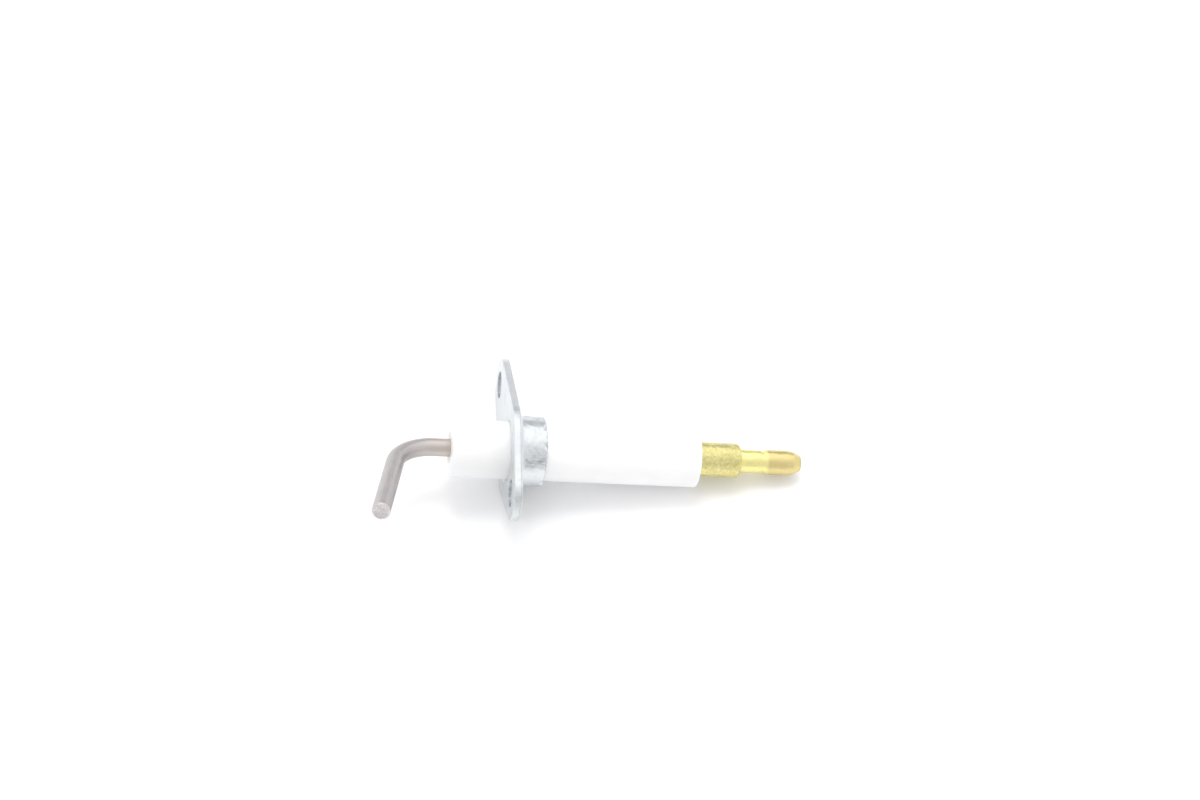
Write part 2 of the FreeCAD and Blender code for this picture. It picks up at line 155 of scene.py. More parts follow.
SMALL_ROUND = 0.06  # on a profile's corners that have no rounding of their own
FACE_SPACING = 0.42  # between the points inside the plate's flat faces

# The probe lies on its flange's long straight side and on the ceramic's rear edge.
FLOOR_NEAR = Vector((PLATE_THICK, 0, -LOBE_RADIUS))
FLOOR_FAR = Vector((CERAMIC_REAR - CERAMIC_EDGE, 0, -CERAMIC_RADIUS))
FLOOR_REACH = 2500
FLOOR_LEVEL = 900  # the floor is flat this far out, and then curves gently up
FLOOR_RISE = 0.00002

# camera
AIM = Vector((14.86, 6.31, 7.09))
AZIMUTH = math.radians(19.86)  # from +Y towards +X
ELEVATION = math.radians(57.11)
ROLL = math.radians(19.7)
CAMERA_DISTANCE = 400
LENS = 72.6
SENSOR_WIDTH = 36

# lights
KEY_HEADING = (-0.12, 0.34, 0.933)
KEY_DISTANCE = 700
KEY_AIM = (15, 0, 0)
KEY_WIDTH = 300
KEY_HEIGHT = 240
KEY_POWER = 1.2
SKY_LEVEL = 1.08
GLOW_HEADING = (-0.05, 0.66, 0.75)
GLOW_EDGES = (55, 15)  # degrees from the heading where a patch of sky starts and is full
SKY_GLOW = 1.42
NEAR_HEADING = (-0.1, -0.85, 0.5)
NEAR_EDGES = (60, 20)
NEAR_SHADE = 0.79
FAR_HEADING = (0.18, 0.98, 0.0)
FAR_EDGES = (34, 12)
FAR_SHADE = 0.2


# ------------------------------------------------------------------ shape helpers
def ripple(points, wavelength, seed, waves=32):
    """Smooth noise, mostly from -1 to 1, with features about one wavelength apart."""
    draw = np.random.default_rng(seed)
    heading = draw.normal(size=(waves, 3))
    heading /= np.linalg.norm(heading, axis=1)[:, None]
    heading *= (draw.uniform(0.7, 1.5, waves) * FULL_TURN / wavelength)[:, None]
    phase = draw.uniform(0, FULL_TURN, waves)
    return np.sin(points @ heading.T + phase).sum(-1) / math.sqrt(waves)


def dents(points, centres, radii, depths):
    """How deep each point lies in rounded dents round the centres."""
    depth = np.zeros(points.shape[:-1])
    for centre, radius, deepest in zip(centres, radii, depths):
        away = np.linalg.norm(points - centre, axis=-1) / radius
        depth = np.maximum(depth, deepest * np.clip(1 - away**2, 0, 1))
    return depth


def smooth_step(value, start, end):
    """0 at start and 1 at end, with a smooth change between them."""
    share = np.clip((value - start) / (end - start), 0, 1)
    return share * share * (3 - 2 * share)


def turn_from(start, angle):
    """The turn from one angle to another, from minus half a turn to half a turn."""
    return (angle - start + math.pi) % FULL_TURN - math.pi


def rounded(corners, step, radii):
    """A profile through the corners, divided every step, with rounded corners.

    Each corner is (along, radius).  radii gives the roundings that aren't SMALL_ROUND.
    """
    corners = [np.array(corner, float) for corner in corners]
    outline = [corners[0]]
    for i in range(1, len(corners) - 1):
        before, here, after = corners[i - 1 : i + 2]
        back = (before - here) / np.linalg.norm(before - here)
        on = (after - here) / np.linalg.norm(after - here)
        half = math.acos(np.clip(back @ on, -1, 1)) / 2
        radius = radii.get(i, SMALL_ROUND)
        reach = radius / math.tan(half)
        middle = here + (back + on) / np.linalg.norm(back + on) * radius / math.sin(half)
        start, end = here + back * reach, here + on * reach
        parts = max(3, int(abs(math.pi - 2 * half) / math.radians(12)))
        first = math.atan2(*(start - middle)[::-1])
        sweep = turn_from(first, math.atan2(*(end - middle)[::-1]))
        for part in range(parts + 1):
            angle = first + sweep * part / parts
            outline.append(middle + radius * np.array([math.cos(angle), math.sin(angle)]))
    outline.append(corners[-1])
    profile = [outline[0]]
    for start, end in zip(outline, outline[1:]):
        length = np.linalg.norm(end - start)
        if length < 1e-6:
            continue
        parts = max(1, math.ceil(length / step))
        profile += [start + (end - start) * (part + 1) / parts for part in range(parts)]
    return np.array(profile)


def profile_normals(profile, closed):
    """Unit vectors square to a profile, to the left of its direction."""
    if closed:
        along = np.roll(profile, -1, 0) - np.roll(profile, 1, 0)
    else:
        along = np.gradient(profile, axis=0)
    along /= np.linalg.norm(along, axis=1)[:, None]
    return np.stack([-along[:, 1], along[:, 0]], 1)


def turned_points(profile, around, inward, first_angle=0.0):
    """A profile turned about X: rows of points, after inward(points, angle) has moved them.

    inward gives how far each point moves to the right of the profile's direction.  The material
    lies on that side, so it is dented, except on the cement rings, where it lies on the left.
    """
    normals = profile_normals(profile, np.allclose(profile[0], profile[-1]))
    angle = first_angle + np.arange(around) * FULL_TURN / around
    spoke = np.stack([np.zeros(around), np.cos(angle), np.sin(angle)], 1)
    along = np.array([1.0, 0, 0])
    points = profile[:, None, :1] * along + profile[:, None, 1:] * spoke
    outward = normals[:, None, :1] * along + normals[:, None, 1:] * spoke
    depth = inward(points, np.broadcast_to(angle, points.shape[:2]))
    return points - outward * depth[..., None]


def orient(mesh, closed):
    """Turns all faces the same way, outwards on a closed mesh."""
    work = bmesh.new()
    work.from_mesh(mesh)
    bmesh.ops.recalc_face_normals(work, faces=work.faces)
    if closed and work.calc_volume(signed=True) < 0:
        bmesh.ops.reverse_faces(work, faces=work.faces)
    work.to_mesh(mesh)
    work.free()


class Shell:
    """Collects points and the faces between them."""

    def __init__(self):
        self.points = []
        self.faces = []

    def add(self, points):
        """Adds points and gives their numbers."""
        start = len(self.points)
        self.points.extend(np.asarray(points, float))
        return list(range(start, len(self.points)))

    def bridge(self, one, other):
        """Quads between two rings of as many points."""
        count = len(one)
        for i in range(count):
            j = (i + 1) % count
            self.faces.append((one[i], one[j], other[j], other[i]))

    def cap(self, ring, centre):
        """A fan of triangles from a ring to one point."""
        middle = self.add([centre])[0]
        count = len(ring)
        for i in range(count):
            self.faces.append((ring[i], ring[(i + 1) % count], middle))

    def sweep(self, rows, closed=False):
        """Bridges rows of points one after another, and gives the first and last ring."""
        rings = [self.add(row) for row in rows]
        for one, other in zip(rings, rings[1:]):
            self.bridge(one, other)
        if closed:
            self.bridge(rings[-1], rings[0])
        return rings[0], rings[-1]

    def link(self, name, material, closed):
        """A smooth object in the scene, made of the points and faces."""
        mesh = bpy.data.meshes.new(name)
        mesh.from_pydata([tuple(p * MM) for p in self.points], [], self.faces)
        orient(mesh, closed)
        mesh.shade_smooth()
        mesh.materials.append(material)
        obj = bpy.data.objects.new(name, mesh)
        bpy.context.scene.collection.objects.link(obj)
        return obj

    def piece(self, name, node, material, grain=None, wear=None):
        """The finished object, riding where the CAD node was.

        grain gives each point its place along a bent piece; wear, how worn it is, from 0 to 1.
        """
        obj = self.link(name, material, closed=True)
        mesh = obj.data
        if grain is not None:
            attribute = mesh.attributes.new("grain", "FLOAT_VECTOR", "POINT")
            attribute.data.foreach_set("vector", np.asarray(grain, np.float32).ravel())
        if wear is not None:
            attribute = mesh.attributes.new("wear", "FLOAT", "POINT")
            attribute.data.foreach_set("value", np.asarray(wear, np.float32))
        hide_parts(node)
        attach(obj, "root")
        return obj


# --------------------------------------------------------------- material helpers
class Finish:
    """A material under construction."""

    def __init__(self, name, **sockets):
        self.material = bpy.data.materials.new(name)
        self.material.use_nodes = True
        self.tree = self.material.node_tree
        self.shader = self.tree.nodes["Principled BSDF"]
        for socket, value in sockets.items():
            self.shader.inputs[socket.replace("_", " ")].default_value = value
        self.normal = None

    def node(self, kind, inputs=None, **settings):
        """A new node with these inputs and settings."""
        made = self.tree.nodes.new(kind)
        for key, value in settings.items():
            setattr(made, key, value)
        for key, value in (inputs or {}).items():
            self.put(made.inputs[key], value)
        return made

    def put(self, socket, value):
        """Links another node's output to the socket, or sets a plain value on it."""
        if isinstance(value, bpy.types.NodeSocket):
            self.tree.links.new(value, socket)
        else:
            socket.default_value = value

    def place(self, stretch=(1, 1, 1), attribute=None):
        """The surface's place in millimetres, stretched along each axis."""
        if attribute:
            source = self.node("ShaderNodeAttribute", attribute_name=attribute).outputs["Vector"]
            scale = stretch
        else:
            source = self.node("ShaderNodeTexCoord").outputs["Object"]
            scale = tuple(s / MM for s in stretch)
        mapped = self.node("ShaderNodeMapping", {"Vector": source, "Scale": scale})
        return mapped.outputs["Vector"]

    def mask(self, attribute):
        """A number stored on the mesh's points."""
        return self.node("ShaderNodeAttribute", attribute_name=attribute).outputs["Fac"]

    def noise(self, place, per_mm, detail, roughness, distortion=0.0):
        """Cloudy noise round 0.5, with about per_mm features to the millimetre."""
        made = self.node(
            "ShaderNodeTexNoise",
            {
                "Vector": place,
                "Scale": per_mm,
                "Detail": detail,
                "Roughness": roughness,
                "Distortion": distortion,
            },
        )
        return made.outputs["Fac"]

    def cells(self, place, per_mm):
        """How far the place is from the middle of its cell."""
        made = self.node("ShaderNodeTexVoronoi", {"Vector": place, "Scale": per_mm})
        return made.outputs["Distance"]

    def levels(self, value, low, high, to_low=0.0, to_high=1.0):
        """The value from low to high, spread from to_low to to_high."""
        made = self.node(
            "ShaderNodeMapRange",
            {
                "Value": value,
                "From Min": low,
                "From Max": high,
                "To Min": to_low,
                "To Max": to_high,
            },
        )
        return made.outputs["Result"]

    def sum(self, one, other):
        """Two numbers added."""
        made = self.node("ShaderNodeMath", operation="ADD")
        self.put(made.inputs[0], one)
        self.put(made.inputs[1], other)
        return made.outputs[0]

    def blend(self, share, one, other):
        """From colour one to colour other."""
        made = self.node("ShaderNodeMix", data_type="RGBA")
        self.put(made.inputs["Factor"], share)
        for key, value in (("A", one), ("B", other)):
            socket = next(s for s in made.inputs if s.name == key and s.type == "RGBA")
            self.put(socket, value if not isinstance(value, tuple) else (*value, 1))
        return next(s for s in made.outputs if s.type == "RGBA")

    def relief(self, height, depth_mm, strength=1.0):
        """Fine relief of the given depth, on top of any before it."""
        made = self.node(
            "ShaderNodeBump", {"Height": height, "Distance": depth_mm * MM, "Strength": strength}
        )
        if self.normal is not None:
            self.put(made.inputs["Normal"], self.normal)
        self.normal = made.outputs["Normal"]

    def done(self, colour, roughness):
        """The finished material."""
        self.put(self.shader.inputs["Base Color"], colour)
        self.put(self.shader.inputs["Roughness"], roughness)
        if self.normal is not None:
            self.put(self.shader.inputs["Normal"], self.normal)
        return self.material


# ---------------------------------------------------------------------- materials
def rod_finish():
    """Drawn heat-resistant alloy: dull grey with fine lines along it, faintly straw-tinted."""
    f = Finish("rod_alloy", Metallic=1.0)
    lines = f.noise(f.place((0.25, 6, 6), "grain"), 1.6, 5, 0.65)
    clouds = f.noise(f.place(), 0.45, 3, 0.6)
    specks = f.noise(f.place(), 9.0, 2, 0.5)
    axis = f.node("ShaderNodeSeparateXYZ", {"Vector": f.place()}).outputs["X"]
    heat = f.levels(axis, CERAMIC_FRONT - 7.0, CERAMIC_FRONT - 1.0, 0, 0.5)
    grey = f.blend(f.levels(lines, 0.3, 0.7), (0.41, 0.395, 0.405), (0.56, 0.54, 0.55))
    tinted = f.blend(f.levels(clouds, 0.35, 0.75, 0, 0.5), grey, (0.57, 0.505, 0.46))
    straw = f.blend(heat, tinted, (0.66, 0.57, 0.49))
    drawn = f.blend(f.levels(specks, 0.62, 0.78, 0, 0.55), straw, (0.36, 0.34, 0.33))
    torn = f.blend(f.levels(specks, 0.42, 0.6), (0.50, 0.48, 0.48), (0.78, 0.74, 0.73))
    colour = f.blend(f.mask("wear"), drawn, torn)
    f.relief(lines, 0.02)
    f.relief(specks, 0.006)
    return f.done(colour, f.levels(lines, 0.25, 0.75, 0.34, 0.5))


def ceramic_finish():
    """Fired alumina: smooth, white and satin, with a very fine grain and a few specks."""
    f = Finish(
        "white_ceramic",
        Subsurface_Weight=0.12,
        Subsurface_Radius=(0.9, 0.8, 0.7),
        Subsurface_Scale=MM,
        IOR=1.62,
    )
    clouds = f.noise(f.place(), 0.25, 3, 0.5)
    grain = f.noise(f.place(), 12.0, 3, 0.6)
    specks = f.cells(f.place(), 0.8)
    white = f.blend(f.levels(clouds, 0.3, 0.7), (0.89, 0.89, 0.895), (0.92, 0.92, 0.92))
    colour = f.blend(f.levels(specks, 0.02, 0.07, 0.35, 0), white, (0.60, 0.58, 0.54))
    f.relief(grain, 0.004)
    f.relief(clouds, 0.03)
    return f.done(colour, f.levels(grain, 0.3, 0.7, 0.30, 0.44))


def cement_finish():
    """Grainy off-white sealing cement."""
    f = Finish("seal_cement", IOR=1.5)
    grains = f.cells(f.place(), 4.5)
    clouds = f.noise(f.place(), 1.5, 4, 0.6)
    base = f.blend(f.levels(clouds, 0.3, 0.7), (0.82, 0.81, 0.79), (0.89, 0.885, 0.87))
    colour = f.blend(f.levels(grains, 0.1, 0.6, 0.5, 0), base, (0.92, 0.915, 0.905))
    f.relief(grains, 0.06)
    f.relief(clouds, 0.05)
    return f.done(colour, f.levels(clouds, 0.3, 0.7, 0.75, 0.95))


def zinc_finish():
    """Bright zinc plate with a faint blue passivation, yellowish and duller in places, with painted
    shade in its holes and at the short ear's end.
    """
    f = Finish("zinc_steel", Metallic=1.0)
    clouds = f.noise(f.place(), 0.22, 4, 0.6, 0.4)
    stains = f.noise(f.place(), 0.5, 4, 0.65, 0.8)
    grain = f.noise(f.place(), 7.0, 4, 0.65)
    scratches = f.noise(f.place((0.35, 5, 1.2)), 1.1, 4, 0.7, 0.6)
    blue = f.blend(f.levels(clouds, 0.3, 0.7), (0.65, 0.69, 0.725), (0.74, 0.76, 0.77))
    tinted = f.blend(f.levels(stains, 0.52, 0.75, 0, 0.45), blue, (0.62, 0.62, 0.54))
    scratched = f.blend(f.levels(scratches, 0.64, 0.74, 0, 0.55), tinted, (0.42, 0.43, 0.44))
    # worn zinc, and painted shade where the wear mask marks the holes' walls and the short ear's
    # end
    dark = f.blend(f.levels(scratches, 0.35, 0.6), (0.30, 0.33, 0.36), (0.56, 0.58, 0.59))
    colour = f.blend(f.mask("wear"), scratched, dark)
    f.relief(grain, 0.012)
    f.relief(scratches, 0.02)
    rough = f.sum(f.levels(grain, 0.3, 0.7, 0.26, 0.38), f.levels(stains, 0.5, 0.8, 0, 0.16))
    return f.done(colour, f.sum(rough, f.levels(f.mask("wear"), 0, 1, 0, 0.14)))


def brass_finish():
    """Turned brass, tumbled bright: dented and mottled on the sleeve, ringed on the pin."""
    f = Finish("terminal_brass", Metallic=1.0)
    mottles = f.noise(f.place(), 2.2, 4, 0.62, 0.7)
    rings = f.noise(f.place((14, 0.4, 0.4)), 1.0, 3, 0.6)
    clouds = f.noise(f.place(), 0.5, 3, 0.6)
    patches = f.noise(f.place(), 0.9, 3, 0.55, 0.5)
    axis = f.node("ShaderNodeSeparateXYZ", {"Vector": f.place()}).outputs["X"]
    on_end = f.levels(axis, PIN_END - 0.3, PIN_END - 0.05, 0, 0.8)
    on_sleeve = f.levels(axis, SLEEVE_END + 0.05, SLEEVE_END - 0.05)
    on_tip = f.levels(axis, TIP_START - 0.3, TIP_START + 0.3)
    yellow = f.blend(f.levels(clouds, 0.3, 0.7), (0.86, 0.78, 0.33), (0.93, 0.85, 0.38))
    spotted = f.blend(f.levels(mottles, 0.62, 0.72, 0, 0.6), yellow, (0.60, 0.53, 0.25))
    olive = f.blend(f.levels(mottles, 0.36, 0.62), (0.62, 0.55, 0.22), (0.85, 0.77, 0.38))
    patched = f.blend(f.levels(patches, 0.45, 0.65, 0, 0.55), olive, (0.62, 0.58, 0.24))
    warm = f.blend(f.levels(rings, 0.3, 0.7), (0.68, 0.58, 0.255), (0.76, 0.66, 0.295))
    orange = f.blend(f.levels(patches, 0.4, 0.65, 0, 0.5), warm, (0.80, 0.62, 0.32))
    colour = f.blend(on_sleeve, spotted, patched)
    colour = f.blend(on_tip, colour, orange)
    colour = f.blend(on_end, colour, (0.42, 0.38, 0.22))
    f.relief(rings, 0.012, 0.6)
    f.relief(mottles, 0.02)
    rough = f.sum(f.levels(mottles, 0.3, 0.7, 0.26, 0.38), f.levels(on_sleeve, 0, 1, 0, 0.06))
    return f.done(colour, rough)


def floor_finish():
    """Matt white board with a barely seen grain."""
    f = Finish("floor_board", IOR=1.3)
    clouds = f.noise(f.place(), 0.01, 2, 0.5)
    colour = f.blend(f.levels(clouds, 0.3, 0.7), (0.93, 0.93, 0.94), (0.95, 0.95, 0.955))
    return f.done(colour, f.levels(clouds, 0.3, 0.7, 0.85, 0.95))


# ------------------------------------------------------------------ electrode rod
def make_rod(material):
    """A drawn rod with sheared ends and a slightly flattened bend."""
    around = 72
    toward = np.array([0, math.cos(LEG_TURN), math.sin(LEG_TURN)])
    back = np.array([-1.0, 0, 0])
    side = np.cross(back, toward)
    tangent = ROD_BEND_RADIUS * math.tan(ROD_BEND / 2)
    run = ROD_REAR - ROD_CORNER - tangent
    bend = ROD_BEND_RADIUS * ROD_BEND
    length = run + bend + ROD_LEG - tangent
    shown_from = ROD_REAR - CERAMIC_FRONT - 1.0
    ends = np.array([0, 0.02, 0.1, 0.2, ROD_EDGE, ROD_EDGE + 0.1, ROD_EDGE + 0.25])
    hidden = np.arange(1.5, shown_from, 1.5)
    shown = np.arange(shown_from, length - 0.6, 0.14)
    stations = np.concatenate([ends, hidden, shown, length - ends[::-1]])

    def centre_line(s):
        """A place on the rod's centre line, the way out of the bend, and the rod's heading."""
        if s < run:
            return np.array([ROD_REAR - s, 0, 0]), -toward, back
        swept = min((s - run) / ROD_BEND_RADIUS, ROD_BEND)
        out = -toward * math.cos(swept) + back * math.sin(swept)
        middle = np.array([ROD_REAR - run, 0, 0]) + toward * ROD_BEND_RADIUS
        heading = back * math.cos(swept) + toward * math.sin(swept)
        past = max(0.0, s - run - bend)
        return middle + out * ROD_BEND_RADIUS + heading * past, out, heading

    angle = np.arange(around) * FULL_TURN / around

    def grain_ring(s, radius):
        """For each point of a ring, its place along the rod and across it."""
        return [(s, radius * math.cos(a), radius * math.sin(a)) for a in angle]

    rows, grain, wear = [], [], []
    for s in stations:
        centre, out, _ = centre_line(s)
        to_end = min(s, length - s)
        radius = ROD_RADIUS - max(0.0, ROD_EDGE - to_end)
        spoke = np.cos(angle)[:, None] * out + np.sin(angle)[:, None] * side
        bent = math.sin(math.pi * np.clip((s - run + 1) / (bend + 2), 0, 1)) ** 2
        flat = BEND_FLAT * bent * np.clip(np.cos(angle), 0, 1) ** 2
        pinch = BEND_WRINKLE * bent * np.clip(-np.cos(angle), 0, 1) * (1 + math.sin(s * 4.0)) / 2
        unrolled = np.stack([np.full(around, s * 0.12), np.cos(angle) * 2, np.sin(angle) * 2], 1)
        drawn = 0.008 * (1 + ripple(unrolled, 0.5, 11)) / 2
        radius = radius - flat - pinch - np.clip(drawn, 0, 0.02)
        rows.append(centre + spoke * radius[:, None])
        grain += grain_ring(s, ROD_RADIUS)
        wear += [float(to_end < ROD_EDGE)] * around
    shell = Shell()
    start, end = shell.sweep(rows)
    for previous, s, sense in ((start, 0.0, 1), (end, length, -1)):
        centre, _, heading = centre_line(s)
        inwards = sense * heading
        rim = np.array([shell.points[i] for i in previous]) - centre
        for share in (0.93, 0.8, 0.65, 0.5, 0.35, 0.2, 0.08):
            flat_ring = centre + rim * share
            rough = 0.07 * (1 + ripple(flat_ring, 0.6, 5)) / 2
            rough += 0.06 * smooth_step(share, 0.9, 0.6)
            flat_ring = flat_ring + inwards * np.clip(rough, 0, 0.16)[:, None]
            current = shell.add(flat_ring)
            shell.bridge(previous, current)
            grain += grain_ring(s, ROD_RADIUS * share)
            wear += [1.0] * around
            previous = current
        shell.cap(previous, centre + inwards * 0.05)
        grain.append((s, 0, 0))
        wear.append(1.0)
    return shell.piece(
        "electrode_rod_drawn", "electrode_rod", material, grain=grain, wear=wear
    )


# -------------------------------------------------------------- ceramic insulator
def make_ceramic(material):
    """The fired tube, with its bore, its two cups and the groove that the flange grips."""
    seam = (CERAMIC_FRONT, SEAL_RADIUS + 0.8)  # where the profile starts and ends
    corners = [
        seam,
        (CERAMIC_FRONT, CERAMIC_RADIUS),
        (GROOVE_START, CERAMIC_RADIUS),
        (GROOVE_START, GROOVE_RADIUS),
        (GROOVE_END, GROOVE_RADIUS),
        (GROOVE_END, CERAMIC_RADIUS),
        (CERAMIC_REAR, CERAMIC_RADIUS),
        (CERAMIC_REAR, SEAL_RADIUS),
        (REAR_SEAL[0], SEAL_RADIUS),
        (REAR_SEAL[0], BORE_RADIUS),
        (FRONT_SEAL[1], BORE_RADIUS),
        (FRONT_SEAL[1], SEAL_RADIUS),
        (CERAMIC_FRONT, SEAL_RADIUS),
        seam,
    ]
    radii = {1: CERAMIC_EDGE, 6: CERAMIC_EDGE, 7: 0.15, 12: 0.15}
    profile = rounded(corners, step=0.3, radii=radii)

    def inward(points, angle):
        outside = np.hypot(points[..., 1], points[..., 2]) > SEAL_RADIUS + 0.3
        wave = 0.006 * (1 + ripple(points, 7.0, 21)) + 0.003 * (1 + ripple(points, 1.6, 22))
        return np.where(outside, np.clip(wave, 0, 0.03), 0)

    shell = Shell()
    shell.sweep(turned_points(profile, around=192, inward=inward)[:-1], closed=True)
    return shell.piece("ceramic_insulator_fired", "ceramic_insulator", material)


# ------------------------------------------------------------------- cement seals
def make_seal(name, node, outer, inner, crown, seed, material):
    """A ring of cement, its open face crowned and lumpy between the rod and the cup's wall.

    outer and inner are its places along X at the open side and in the depth of the cup.
    """
    corners = [
        (inner, ROD_RADIUS),
        (inner, SEAL_RADIUS),
        (outer, SEAL_RADIUS),
        (outer, ROD_RADIUS),
        (inner, ROD_RADIUS),
    ]
    if inner < outer:
        corners = corners[::-1]  # either way round, the material lies to the profile's left
    profile = rounded(corners, step=0.07, radii=dict.fromkeys((1, 2, 3), 0.03))

    def lumps(points, angle):
        """How far the open face stands up: 0 at the rod and at the wall."""
        radius = np.hypot(points[..., 1], points[..., 2])
        across = np.clip((radius - ROD_RADIUS) / (SEAL_RADIUS - ROD_RADIUS), 0, 1)
        rough = ripple(points, 0.45, seed) + ripple(points, 1.2, seed + 1)
        height = crown * (np.sin(math.pi * across) + 0.3 * (2 + rough))
        near_face = smooth_step(np.abs(points[..., 0] - outer), 0.06, 0.02)
        return near_face * np.clip(height, 0, 0.35) * np.sin(math.pi * across) ** 0.5

    shell = Shell()
    shell.sweep(turned_points(profile, around=96, inward=lumps)[:-1], closed=True)
    return shell.piece(name, node, material)


# ---------------------------------------------------------------- mounting flange
def outline_frame(around_step):
    """Points of the plate's outline and the directions out of it, in the plate's own plane."""
    far_slope = math.acos((LOBE_RADIUS - EAR_RADIUS) / LONG_EAR)
    near_slope = math.acos((LOBE_RADIUS - EAR_RADIUS) / SHORT_EAR)
    arcs = (
        (LONG_EAR, EAR_RADIUS, -far_slope, far_slope),
        (0.0, LOBE_RADIUS, far_slope, math.pi - near_slope),
        (-SHORT_EAR, EAR_RADIUS, math.pi - near_slope, math.pi + near_slope),
        (0.0, LOBE_RADIUS, math.pi + near_slope, FULL_TURN - far_slope),
    )
    points, outward = [], []

    def straight_to(point, direction):
        """Points between the last one and this one."""
        start = points[-1]
        count = round(np.linalg.norm(point - start) / around_step)
        for part in range(1, count):
            share = part / count
            points.append(start * (1 - share) + point * share)
            outward.append(direction)

    for reach, radius, start, end in arcs:
        middle = np.array([reach, 0.0])
        count = max(2, round((end - start) * radius / around_step))
        for i in range(count + 1):
            angle = start + (end - start) * i / count
            direction = np.array([math.cos(angle), math.sin(angle)])
            point = middle + direction * radius
            if i == 0 and points:
                straight_to(point, direction)
            points.append(point)
            outward.append(direction)
    straight_to(points[0], outward[0])
    return np.array(points), np.array(outward)


def circle(reach, radius, count):
    """Points of a circle in the plate's own plane."""
    angle = np.arange(count) * FULL_TURN / count
    return np.stack([reach + radius * np.cos(angle), radius * np.sin(angle)], 1)


def in_space(flat, x):
    """Points of the plate's own plane, placed at x and turned about the axis."""
    c, s = math.cos(FLANGE_TURN), math.sin(FLANGE_TURN)
    along = np.broadcast_to(x, len(flat))
    return np.stack([along, flat[:, 0] * c - flat[:, 1] * s, flat[:, 0] * s + flat[:, 1] * c], 1)


def fill_face(shell, x, outer, outer_ring, holes, depth):
    """A flat face at x with holes, triangulated with evenly spaced points inside.

    Each hole is its points, their ring in the shell, and its circle's reach and radius.
    """
    loops = [(outer, outer_ring)] + [(points, ring) for points, ring, _, _ in holes]
    coordinates = [Vector(p) for points, _ in loops for p in points]
    indices = [i for _, ring in loops for i in ring]
    edges, owner, start = [], [], 0
    for number, (points, _) in enumerate(loops):
        count = len(points)
        edges += [(start + i, start + (i + 1) % count) for i in range(count)]
        owner += [number] * count
        start += count
    low, high = outer.min(0), outer.max(0)
    rows = np.arange(low[1], high[1], FACE_SPACING * math.sqrt(3) / 2)
    inner = []
    for k, v in enumerate(rows):
        for u in np.arange(low[0] + (k % 2) * FACE_SPACING / 2, high[0], FACE_SPACING):
            inner.append((u, v))
    inner = np.array(inner)
    to_rim = np.linalg.norm(inner[:, None] - outer[None], axis=2).min(1)
    clear = FACE_SPACING * 0.6
    keep = (to_rim > clear) & inside_outline(inner)
    for _, _, reach, radius in holes:
        keep &= np.hypot(inner[:, 0] - reach, inner[:, 1]) > radius + clear
    inner = inner[keep]
    placed = in_space(inner, x)
    placed[:, 0] += depth(inner)
    indices += shell.add(placed)
    coordinates += [Vector(p) for p in inner]
    owner += [0] * len(inner)
    _, _, triangles, _, _, _ = delaunay_2d_cdt(coordinates, edges, [], 1, 1e-6)
    for triangle in triangles:
        touched = {owner[i] for i in triangle}
        if len(touched) == 1 and touched != {0}:
            continue  # it lies inside a hole
        shell.faces.append(tuple(indices[i] for i in triangle))


def inside_outline(flat):
    """Whether points of the plate's own plane lie inside its outline."""
    points, outward = outline_frame(around_step=0.5)
    reach = np.einsum("ij,kj->ki", outward, flat) - np.einsum("ij,ij->i", outward, points)
    return reach.max(1) < -PLATE_EDGE


def make_flange(material):
    """The stamped plate, its two ears and the collar drawn out of its middle."""
    shell = Shell()
    outline, outward = outline_frame(around_step=0.16)
    edge_angle = np.linspace(0, math.pi / 2, 6)
    front_edge = [
        (PLATE_EDGE * (1 - math.sin(a)), PLATE_EDGE * (1 - math.cos(a))) for a in edge_angle
    ]
    middle = [(x, 0.0) for x in np.arange(PLATE_EDGE, PLATE_THICK - PLATE_EDGE, 0.09)[1:]]
    rear_edge = [(PLATE_THICK - x, inset) for x, inset in front_edge[::-1]]
    rim = [(0.0, PLATE_EDGE + 0.07), *front_edge[::-1], *middle, *rear_edge]
    rim.append((PLATE_THICK, PLATE_EDGE + 0.07))
    rows = []
    for x, inset in rim:
        flat = outline - outward * inset
        place = in_space(flat, x)
        torn = smooth_step(x, 0.75, 1.0) * smooth_step(x, PLATE_THICK - 0.05, 1.2)
        sheared = 0.03 * torn * (1 + ripple(place * (0.35, 1, 1), 0.5, 31)) / 2
        sheared += 0.012 * (1 + ripple(place * (0.1, 1, 1), 0.35, 32)) / 2
        flat = flat - outward * np.clip(sheared, 0, 0.06)[:, None]
        rows.append(in_space(flat, x))
    front_ring, rear_ring = shell.sweep(rows)
    face_outline = outline - outward * rim[0][1]

    around = 288
    collar = collar_profile()
    turned = turned_points(collar, around, collar_marks, FLANGE_TURN)
    root_ring, mouth_ring = shell.sweep(turned)
    root_radius, mouth_radius = collar[0][1], collar[-1][1]
    root_flat = circle(0.0, root_radius, around)
    mouth_flat = circle(0.0, mouth_radius, around)

    front_holes = [(mouth_flat, mouth_ring, 0.0, mouth_radius)]
    rear_holes = [(root_flat, root_ring, 0.0, root_radius)]
    for reach in (LONG_EAR, -SHORT_EAR):
        front, rear, radius = screw_hole(shell, reach)
        hole = circle(reach, radius, len(front))
        front_holes.append((hole, front, reach, radius))
        rear_holes.append((hole, rear, reach, radius))

    def front_waves(flat):
        return 0.006 * (1 + ripple(in_space(flat, 0.0), 5.0, 41)) * rim_fade(flat, mouth_radius)

    def rear_waves(flat):
        return -0.006 * (1 + ripple(in_space(flat, 0.0), 5.0, 42)) * rim_fade(flat, root_radius)

    fill_face(shell, 0.0, face_outline, front_ring, front_holes, front_waves)
    fill_face(shell, PLATE_THICK, face_outline, rear_ring, rear_holes, rear_waves)
    return shell.piece(
        "mounting_flange_plated",
        "mounting_flange",
        material,
        wear=flange_wear_and_shade(np.array(shell.points)),
    )


